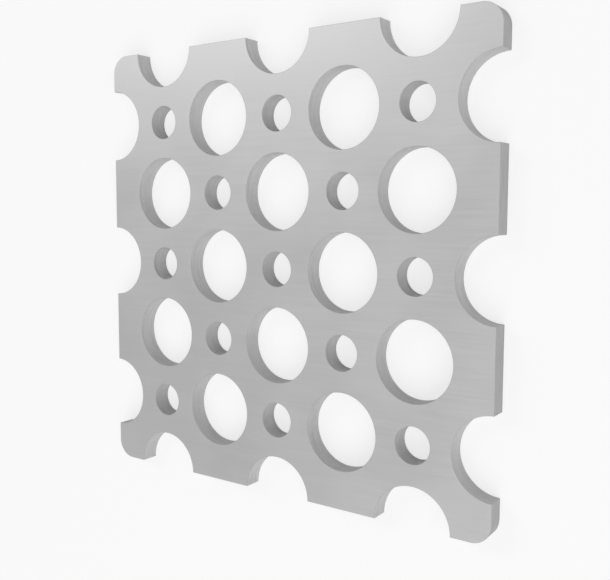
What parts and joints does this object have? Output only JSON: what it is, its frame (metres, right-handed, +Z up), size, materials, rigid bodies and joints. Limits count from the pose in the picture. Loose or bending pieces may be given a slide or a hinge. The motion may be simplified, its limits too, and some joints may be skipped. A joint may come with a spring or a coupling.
{
  "type": "perforated metal sheet",
  "caption": "Flat square metal sheet perforated with alternating large and small round holes, with half-round notches along its cut edges and rounded corners.",
  "frame": {"origin": "centre of the underside, at the middle of the middle small hole", "axes": "+Z up through the sheet's thickness, +X and +Y along its two cut edges"},
  "size_m": [0.072, 0.072, 0.003],
  "materials": {
    "sheet_metal": "satin mill finish, unpainted, deburred"
  },
  "bodies": {
    "root": {"perforated_sheet": "sheet_metal"}
  },
  "joints": []
}
